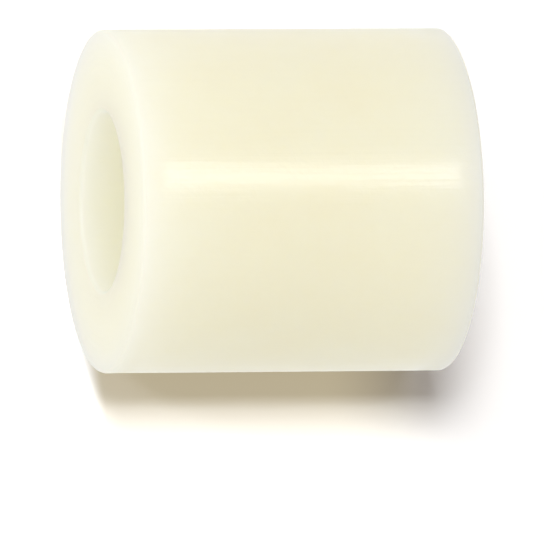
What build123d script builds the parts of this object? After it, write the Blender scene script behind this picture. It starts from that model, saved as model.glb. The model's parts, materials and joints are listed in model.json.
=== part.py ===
from build123d import *
import os

# A plain round spacer: a short, thick tube of natural nylon that holds two parts a set distance
# apart while a screw passes through it. It is one solid, cut square from tube, with its edges
# broken. It stands on its lower end: the origin is the middle of that end, and +Z runs up the bore.

# Driving dimensions, in millimetres
length = 12.7  # end to end, which is the gap that the spacer holds
outer_diameter = 12.45
screw_diameter = 6.35  # the largest screw that passes through
screw_clearance = 0.15  # on the diameter, so that the screw drops through
rim_round = 0.15  # the broken outer edge of each end
mouth_round = 0.2  # the broken edge where the bore meets each end

# What follows from them
bore_diameter = screw_diameter + screw_clearance

with BuildPart() as spacer:
    # The tube's ring, drawn out to its cut length
    with BuildSketch(Plane.XY):
        Circle(outer_diameter / 2)
        Circle(bore_diameter / 2, mode=Mode.SUBTRACT)
    extrude(amount=length)

    # The bore's two mouths are the smallest circles of the plain tube
    mouths = spacer.edges().filter_by(GeomType.CIRCLE).group_by(SortBy.RADIUS)[0]
    fillet(mouths, radius=mouth_round)

    # The two outer rims are still the largest
    rims = spacer.edges().filter_by(GeomType.CIRCLE).group_by(SortBy.RADIUS)[-1]
    fillet(rims, radius=rim_round)

spacer.part.label = "spacer"

os.makedirs("parts", exist_ok=True)
export_step(spacer.part, "parts/spacer.step")
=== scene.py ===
import bmesh
import bpy
import json
import math
from mathutils import Matrix, Vector


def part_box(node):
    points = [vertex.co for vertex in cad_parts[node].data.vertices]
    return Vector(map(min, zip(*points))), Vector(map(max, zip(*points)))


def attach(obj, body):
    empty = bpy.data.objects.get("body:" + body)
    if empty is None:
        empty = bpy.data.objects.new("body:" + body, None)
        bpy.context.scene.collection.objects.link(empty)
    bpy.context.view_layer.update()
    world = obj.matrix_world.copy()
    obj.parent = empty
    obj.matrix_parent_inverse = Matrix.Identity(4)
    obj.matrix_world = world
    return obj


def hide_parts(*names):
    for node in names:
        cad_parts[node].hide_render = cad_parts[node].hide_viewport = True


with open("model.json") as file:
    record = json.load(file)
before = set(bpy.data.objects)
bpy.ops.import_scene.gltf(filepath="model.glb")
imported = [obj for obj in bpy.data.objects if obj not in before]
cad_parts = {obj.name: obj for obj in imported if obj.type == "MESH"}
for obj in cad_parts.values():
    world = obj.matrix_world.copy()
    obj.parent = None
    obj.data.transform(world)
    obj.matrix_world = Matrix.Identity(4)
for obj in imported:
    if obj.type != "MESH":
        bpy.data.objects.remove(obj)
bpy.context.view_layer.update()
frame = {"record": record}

# The spacer's sizes, read from the frame, in metres
MM = 0.001
low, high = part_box("spacer")
length = high.z - low.z
outer_radius = (high.y - low.y) / 2
bore_mount = next(m for m in frame["record"]["mounts"] if m["name"] == "through_bore")
bore_radius = bore_mount["dims"]["r_mm"] * MM
wall = outer_radius - bore_radius
centre = (low + high) / 2
upright = Vector((0, 0, 1))

# How finely the surface is cut, and how far its edges are broken
SIDES = 224
HOOPS = 30
RINGS = 6
RIM_ROUND = 0.15 * MM
RIM_CUTS = 6
MOUTH_ROUND = 0.2 * MM
MOUTH_CUTS = 7
NEAR = 0.01 * MM
ALONG_AXIS = 0.9

# How the photograph sees the part: on its side on a pale table, with one end turned to the camera
CAMERA_AZIMUTH = 255.0
END_TURN = math.radians(14.74)
ROLL = math.radians(0.42)
LENS_MM = 1200
SENSOR_MM = 36
PICTURE_PX = 544
PX_PER_MM = 27.55
PART_AT_PX = Vector((270.7, 200.4))
CLIP_SHARES = (0.02, 20.0)

# Uncoloured nylon, and how light bends and spreads inside it
CREAM = (0.914, 0.816, 0.577, 1)
PALE_CREAM = (0.947, 0.865, 0.638, 1)
# Painted light: the end faces and the bore are tinted paler so that they look better lit
END_PAINTED_LIGHT_CREAM = (0.998, 0.848, 0.612, 1)
BORE_PAINTED_LIGHT_CREAM = (0.992, 0.92, 0.665, 1)
CLOUDS = {"Scale": 420.0, "Detail": 4.0, "Roughness": 0.6}
NYLON_IOR = 1.53
GLOW_RADII = (1.0, 1.0, 1.1)
GLOW_DEPTH = 8.0 * MM

# Its sheen, and the fine marks that break it up
SHEEN_ROUGHNESS = 0.29
DULL_ROUGHNESS = 0.52
BORE_ROUGHNESS = 0.3
DULL_REACH = (1.1 * MM, 0.5 * MM)
SHEEN_CHANGE = 0.03
LINES = {"Scale": 3000.0, "Detail": 3.0, "Roughness": 0.6}
LINE_STRETCH = 0.02
RINGS_CUT = {"Scale": 5000.0, "Detail": 2.0, "Roughness": 0.6}
GRAIN = {"Scale": 5000.0, "Detail": 2.0}
GRAIN_SHARE = 0.4
MARK_STRENGTH = 1.0
MARK_DEPTH = 0.012 * MM

# The two pale boards. Heights on the table are off the part's middle
BOARD_SIZE = 14 * length
BOARD_GAP = 0.02 * MM
FLOOR_GREY = (0.3, 0.3, 0.3, 1)
FLOOR_GLOW = (0.4, 0.39, 0.36, 1)
TABLE_AZIMUTH = 225.0
TABLE_GREY = (0.28, 0.28, 0.28, 1)
# Painted light in the table's shadow: white short of the part's lower end paints it out, cream stands
# for light passed through the nylon, and dark grey towards the upper end paints it darker
WHITE_PAINTED_LIGHT = (0.8, 0.8, 0.8, 1)
PAINTED_WHITE_TO_CREAM = (0.1 * MM - length / 2, 0.9 * MM - length / 2)
CREAM_PAINTED_LIGHT = (0.287, 0.232, 0.13, 1)
PAINTED_CREAM_TO_DARK = (0.2 * length, 0.62 * length)
DARK_PAINTED_SHADE = (0.03, 0.008, 0.0, 1)
FLOOR_HEIGHT = -length / 2 - 0.05 * MM
FEWER_THAN_ONE = 0.5

# The even light from all round, a little stronger from below
ROOM_LIGHT = 0.758
ROOM_TILT = 0.18

# The lamps: azimuth and rise in degrees, distance and the two sides in metres
LAMPS = {
    "table_lamp": {
        "azimuth": 231.8, "rise": -10.0, "distance": 1.0, "sides": (0.38, 0.281), "level": 2.85,
        "lights": "table",
    },
    "floor_key": {
        "azimuth": 300.0, "rise": 55.0, "distance": 1.0, "sides": (0.3, 0.3), "level": 1.2,
        "lights": "floor",
    },
    "floor_haze": {
        "azimuth": 60.0, "rise": 80.0, "distance": 1.0, "sides": (1.4, 1.4), "level": 0.9,
        "lights": "floor",
    },
    "streak_lamp": {
        "azimuth": 239.145, "rise": 13.534, "distance": 0.2, "sides": (0.012, 0.07), "level": 0.15,
    },
    "end_lamp": {
        "azimuth": 214.76, "rise": -61.423, "distance": 0.14, "sides": (0.02, 0.02), "level": 0.207,
    },
    "bounce_lamp": {
        "azimuth": 315.446, "rise": -7.765, "distance": 0.3, "sides": (0.2, 0.2), "level": 0.045,
        "in_gloss": False,
    },
    "back_lamp": {
        "azimuth": 115.0, "rise": 35.0, "distance": 0.3, "sides": (0.03, 0.1), "level": 0.1,
    },
}


def ways_off(edge):
    """How far the two corners of an edge are from the bore's axis, the nearer first."""
    return sorted(math.hypot(corner.co.x, corner.co.y) for corner in edge.verts)


def at_an_end(edge):
    """True for an edge that lies in one of the two end faces."""
    heights = [corner.co.z for corner in edge.verts]
    return max(heights) < low.z + NEAR or min(heights) > high.z - NEAR


def is_mouth(edge):
    """True for an edge of the bore's circle, at either end."""
    return at_an_end(edge) and ways_off(edge)[1] < bore_radius + NEAR


def is_rim(edge):
    """True for an edge of the outer circle, at either end."""
    return at_an_end(edge) and ways_off(edge)[0] > outer_radius - NEAR


def runs_along(edge):
    """True for an edge that runs along the side or the bore for most of the length."""
    a, b = edge.verts
    return abs(a.co.z - b.co.z) > length / 2


def runs_across(edge):
    """True for an edge that runs across an end face, from the mouth to the rim."""
    nearer, further = ways_off(edge)
    return further - nearer > wall / 2


def pick(mesh, kind, wanted):
    """In edit mode, selects the faces or edges that the test accepts and nothing else."""
    bpy.ops.mesh.select_mode(type=kind)
    bpy.ops.mesh.select_all(action="DESELECT")
    shape = bmesh.from_edit_mesh(mesh)
    for item in shape.faces if kind == "FACE" else shape.edges:
        item.select_set(wanted(item))
    bmesh.update_edit_mesh(mesh)


def cut_tube():
    """The spacer as it is cut from tube: a bored cylinder with its mouths and rims broken."""
    bpy.ops.object.select_all(action="DESELECT")
    bpy.ops.mesh.primitive_cylinder_add(
        vertices=SIDES, radius=outer_radius, depth=length, location=(0, 0, centre.z)
    )
    bpy.ops.object.transform_apply(location=True, rotation=True, scale=True)
    tube = bpy.context.object
    tube.name = "spacer_tube"
    mesh = tube.data
    bpy.ops.object.mode_set(mode="EDIT")

    # The bore: both ends are inset to its circle, and the two circles are bridged
    pick(mesh, "FACE", lambda face: abs(face.normal.z) > ALONG_AXIS)
    bpy.ops.mesh.inset(thickness=wall)
    bpy.ops.mesh.bridge_edge_loops()

    # The mouths and the rims are broken while the long faces are still whole
    pick(mesh, "EDGE", is_mouth)
    bpy.ops.mesh.bevel(offset=MOUTH_ROUND, segments=MOUTH_CUTS, affect="EDGES")
    pick(mesh, "EDGE", is_rim)
    bpy.ops.mesh.bevel(offset=RIM_ROUND, segments=RIM_CUTS, affect="EDGES")

    # Hoops along the length, inside and out, and rings across both end faces
    pick(mesh, "EDGE", runs_along)
    bpy.ops.mesh.subdivide(number_cuts=HOOPS)
    pick(mesh, "EDGE", runs_across)
    bpy.ops.mesh.subdivide(number_cuts=RINGS)

    bpy.ops.mesh.select_all(action="SELECT")
    bpy.ops.mesh.normals_make_consistent(inside=False)
    bpy.ops.object.mode_set(mode="OBJECT")
    bpy.ops.object.shade_smooth()
    weights = tube.modifiers.new("even_normals", "WEIGHTED_NORMAL")
    bpy.ops.object.modifier_apply(modifier=weights.name)
    return tube


def empty_tree(owner):
    """The owner's node tree with nothing in it."""
    owner.use_nodes = True
    owner.node_tree.nodes.clear()
    return owner.node_tree


def add(tree, kind, inputs=None, **settings):
    """Adds a node. An input takes a value or, where it is given another node's output, a link."""
    node = tree.nodes.new("ShaderNode" + kind)
    for name, value in settings.items():
        setattr(node, name, value)
    for name, value in (inputs or {}).items():
        if isinstance(value, bpy.types.NodeSocket):
            tree.links.new(value, node.inputs[name])
        else:
            node.inputs[name].default_value = value
    return node


def work_out(tree, operation, *numbers):
    """The result of one sum on numbers and other nodes' outputs."""
    return add(tree, "Math", dict(enumerate(numbers)), operation=operation).outputs[0]


def mix_numbers(tree, share, first, second):
    """The number between two, at a share of the way."""
    return add(tree, "Mix", {0: share, 2: first, 3: second}, data_type="FLOAT").outputs[0]


def mix_colours(tree, share, first, second):
    """The colour between two, at a share of the way."""
    return add(tree, "Mix", {0: share, 6: first, 7: second}, data_type="RGBA").outputs[2]


def ramp(tree, value, start, stop, at_start=0.0, at_stop=1.0):
    """Goes smoothly from one number to another while a value goes from start to stop."""
    inputs = {"Value": value, "From Min": start, "From Max": stop, "To Min": at_start, "To Max": at_stop}
    return add(tree, "MapRange", inputs, interpolation_type="SMOOTHSTEP").outputs[0]


def surface_places(tree):
    """Where a point of the spacer is: the point, its way off the axis, and its height off the middle."""
    place = add(tree, "TexCoord").outputs["Object"]
    parts = add(tree, "SeparateXYZ", {"Vector": place}).outputs
    flat = add(tree, "CombineXYZ", {"X": parts["X"], "Y": parts["Y"]}).outputs[0]
    radius = add(tree, "VectorMath", {0: flat}, operation="LENGTH").outputs["Value"]
    height = work_out(tree, "ABSOLUTE", work_out(tree, "SUBTRACT", parts["Z"], centre.z))
    return place, radius, height


def natural_nylon():
    """Uncoloured nylon: cloudy and translucent, and drawn satin along its side. Its end faces and bore
    carry painted light: paler tints that brighten them as if better lit.
    """
    material = bpy.data.materials.new("natural_nylon")
    tree = empty_tree(material)
    place, radius, height = surface_places(tree)

    # Where the surface is cut: the two end faces with their broken edges, and the bore
    on_end = ramp(tree, height, length / 2 - RIM_ROUND, length / 2 - NEAR)
    in_bore = ramp(tree, radius, bore_radius + NEAR, bore_radius + MOUTH_ROUND, 1.0, 0.0)

    # Cloudiness inside the nylon, and painted light: paler tints on the end faces, as if they caught
    # more light, and in the bore, brightening it against its shade
    clouds = add(tree, "TexNoise", {**CLOUDS, "Vector": place}).outputs["Fac"]
    side_tint = mix_colours(tree, clouds, CREAM, PALE_CREAM)
    outer_tint = mix_colours(tree, on_end, side_tint, END_PAINTED_LIGHT_CREAM)
    tint = mix_colours(tree, in_bore, outer_tint, BORE_PAINTED_LIGHT_CREAM)

    # Fine lines drawn along the length, and fine rings that facing leaves on the ends
    stretched = add(tree, "Mapping", {"Vector": place, "Scale": (1, 1, LINE_STRETCH)}).outputs[0]
    lines = add(tree, "TexNoise", {**LINES, "Vector": stretched}).outputs["Fac"]
    rings = add(tree, "TexNoise", {**RINGS_CUT, "W": radius}, noise_dimensions="1D").outputs["Fac"]
    marks = mix_numbers(tree, on_end, lines, rings)
    grain = add(tree, "TexNoise", {**GRAIN, "Vector": place}).outputs["Fac"]
    relief = work_out(tree, "MULTIPLY_ADD", grain, GRAIN_SHARE, marks)
    bump = add(
        tree, "Bump", {"Height": relief, "Strength": MARK_STRENGTH, "Distance": MARK_DEPTH}
    ).outputs[0]

    # The sheen is duller near the ends, where the edges were eased, and broken up by the marks
    from_middle = [length / 2 - reach for reach in DULL_REACH]
    dulled = ramp(tree, height, *from_middle, SHEEN_ROUGHNESS, DULL_ROUGHNESS)
    dulled = mix_numbers(tree, in_bore, dulled, BORE_ROUGHNESS)
    uneven = work_out(tree, "MULTIPLY_ADD", marks, SHEEN_CHANGE, -SHEEN_CHANGE / 2)
    roughness = work_out(tree, "ADD", dulled, uneven)

    surface = add(
        tree,
        "BsdfPrincipled",
        {
            "Base Color": tint,
            "Roughness": roughness,
            "Normal": bump,
            "IOR": NYLON_IOR,
            "Subsurface Weight": 1.0,
            "Subsurface Radius": GLOW_RADII,
            "Subsurface Scale": GLOW_DEPTH,
        },
        subsurface_method="RANDOM_WALK",
    )
    add(tree, "OutputMaterial", {"Surface": surface.outputs[0]})
    return material


def pale_paper(tree, grey, glow, hidden):
    """Paper that its lamps light and that glows a little by itself, and is clear where hidden is 1."""
    lit = add(tree, "BsdfDiffuse", {"Color": grey}).outputs[0]
    own = add(tree, "Emission", {"Color": glow, "Strength": 1.0}).outputs[0]
    both = add(tree, "AddShader", {0: lit, 1: own}).outputs[0]
    clear = add(tree, "BsdfTransparent").outputs[0]
    shown = add(tree, "MixShader", {0: hidden, 1: both, 2: clear}).outputs[0]
    add(tree, "OutputMaterial", {"Surface": shown})


def floor_paper():
    """The floor's paper, which shows from above only."""
    material = bpy.data.materials.new("floor")
    tree = empty_tree(material)
    pale_paper(tree, FLOOR_GREY, FLOOR_GLOW, add(tree, "NewGeometry").outputs["Backfacing"])
    return material


def table_paper():
    """The table's paper, whose shadow carries painted light along the part: its glow is white short of
    the part's lower end, which paints the shadow out there, then cream, a painted light as if passed
    through the nylon, and dark grey towards the upper end, a painted darker shade.

    Above the floor it shows only to what looks up through the floor's clear underside, as the
    photograph's camera does, and so it stays out of every view from above the floor.
    """
    material = bpy.data.materials.new("table")
    tree = empty_tree(material)
    place = add(tree, "TexCoord").outputs["Object"]
    height = add(tree, "SeparateXYZ", {"Vector": place}).outputs["X"]
    # The glow paints light and shade into the table's shadow by height: white, then cream, then dark
    # grey
    shade = mix_colours(tree, ramp(tree, height, *PAINTED_CREAM_TO_DARK), CREAM_PAINTED_LIGHT, DARK_PAINTED_SHADE)
    glow = mix_colours(tree, ramp(tree, height, *PAINTED_WHITE_TO_CREAM), WHITE_PAINTED_LIGHT, shade)
    boards_passed = add(tree, "LightPath").outputs["Transparent Depth"]
    seen_straight = work_out(tree, "LESS_THAN", boards_passed, FEWER_THAN_ONE)
    above_floor = work_out(tree, "GREATER_THAN", height, FLOOR_HEIGHT)
    spare = work_out(tree, "MULTIPLY", seen_straight, above_floor)
    behind = add(tree, "NewGeometry").outputs["Backfacing"]
    pale_paper(tree, TABLE_GREY, glow, work_out(tree, "MAXIMUM", behind, spare))
    return material


def stand(thing, spot, x_way, y_way, z_way):
    """Puts a lamp, a camera or a board at a spot, its own three axes along the ways given."""
    turn = Matrix((x_way, y_way, z_way)).transposed().to_4x4()
    thing.matrix_world = Matrix.Translation(spot) @ turn


def compass_way(azimuth, rise):
    """The way off from the part, by degrees round it and degrees above level."""
    round_it = math.radians(azimuth)
    above = math.radians(rise)
    level_way = Vector((math.sin(round_it), -math.cos(round_it), 0))
    return level_way * math.cos(above) + upright * math.sin(above)


def set_camera():
    """A long lens, which sees the part almost without perspective, as the photograph does."""
    # The picture's own directions: the part's +Z runs to the right of the picture
    level_way = compass_way(CAMERA_AZIMUTH, 0)
    climb = level_way.cross(upright)
    toward = level_way * math.cos(END_TURN) - upright * math.sin(END_TURN)
    along = upright * math.cos(END_TURN) + level_way * math.sin(END_TURN)
    right = along * math.cos(ROLL) - climb * math.sin(ROLL)
    up = along * math.sin(ROLL) + climb * math.cos(ROLL)

    lens = bpy.data.cameras.new("camera")
    lens.lens = LENS_MM
    lens.sensor_width = SENSOR_MM
    camera = bpy.data.objects.new("camera", lens)
    bpy.context.collection.objects.link(camera)
    distance = LENS_MM / SENSOR_MM * PICTURE_PX / PX_PER_MM * MM
    shown_off = (Vector((PICTURE_PX, PICTURE_PX)) / 2 - PART_AT_PX) / PX_PER_MM * MM
    spot = centre + toward * distance + right * shown_off.x - up * shown_off.y
    stand(camera, spot, right, up, toward)
    lens.clip_start, lens.clip_end = (distance * share for share in CLIP_SHARES)
    bpy.context.scene.camera = camera


def set_world():
    """White behind everything, and an even pale light from all round."""
    world = bpy.data.worlds.new("studio")
    tree = empty_tree(world)
    way = add(tree, "TexCoord").outputs["Generated"]
    height = add(tree, "SeparateXYZ", {"Vector": way}).outputs["Z"]
    level = work_out(tree, "MULTIPLY_ADD", height, -ROOM_LIGHT * ROOM_TILT, ROOM_LIGHT)
    light = add(tree, "Background", {"Color": (1, 1, 1, 1), "Strength": level}).outputs[0]
    white = add(tree, "Background", {"Color": (1, 1, 1, 1), "Strength": 1.0}).outputs[0]
    path = add(tree, "LightPath").outputs
    seen = work_out(tree, "MAXIMUM", path["Is Camera Ray"], path["Is Glossy Ray"])
    seen = work_out(tree, "MAXIMUM", seen, path["Is Transmission Ray"])
    either = add(tree, "MixShader", {0: seen, 1: light, 2: white}).outputs[0]
    add(tree, "OutputWorld", {"Surface": either})
    bpy.context.scene.world = world


def lay_board(name, spot, facing, x_way, paper):
    """A large flat board of paper, which takes no part in lighting the spacer."""
    bpy.ops.object.select_all(action="DESELECT")
    bpy.ops.mesh.primitive_plane_add(size=BOARD_SIZE)
    board = bpy.context.object
    board.name = name
    stand(board, spot, x_way, facing.cross(x_way), facing)
    for rays in ("diffuse", "glossy", "transmission", "volume_scatter", "shadow"):
        setattr(board, "visible_" + rays, False)
    board.data.materials.append(paper)


def hang_lamp(name, azimuth, rise, distance, sides, level, lights=None, in_gloss=True):
    """A soft lamp that faces the part. level is the share of white light it gives a facing surface.

    Where lights names a board, the lamp lights only that, though all else still shades it.
    """
    bulb = bpy.data.lights.new(name, "AREA")
    bulb.shape = "RECTANGLE"
    bulb.size, bulb.size_y = sides
    bulb.energy = level * (math.pi * distance) ** 2
    lamp = bpy.data.objects.new(name, bulb)
    bpy.context.collection.objects.link(lamp)
    z_way = compass_way(azimuth, rise)
    x_way = upright.cross(z_way).normalized()
    stand(lamp, centre + z_way * distance, x_way, z_way.cross(x_way), z_way)
    lamp.visible_camera = False
    lamp.visible_glossy = in_gloss
    if lights:
        group = bpy.data.collections.new(name + "_lights")
        group.objects.link(bpy.data.objects[lights])
        lamp.light_linking.receiver_collection = group


spacer = cut_tube()
spacer.data.materials.append(natural_nylon())
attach(spacer, "root")
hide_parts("spacer")

# The table lies along the part's side, and the floor under its lower end
off_table = compass_way(TABLE_AZIMUTH, 0)
table_spot = centre - off_table * (outer_radius + BOARD_GAP)
floor_spot = upright * (low.z - BOARD_GAP)
set_camera()
set_world()
lay_board("table", table_spot, off_table, upright, table_paper())
lay_board("floor", floor_spot, upright, compass_way(CAMERA_AZIMUTH, 0), floor_paper())
for name, lamp in LAMPS.items():
    hang_lamp(name, **lamp)

bpy.context.scene.view_settings.view_transform = "Standard"

bpy.context.view_layer.update()
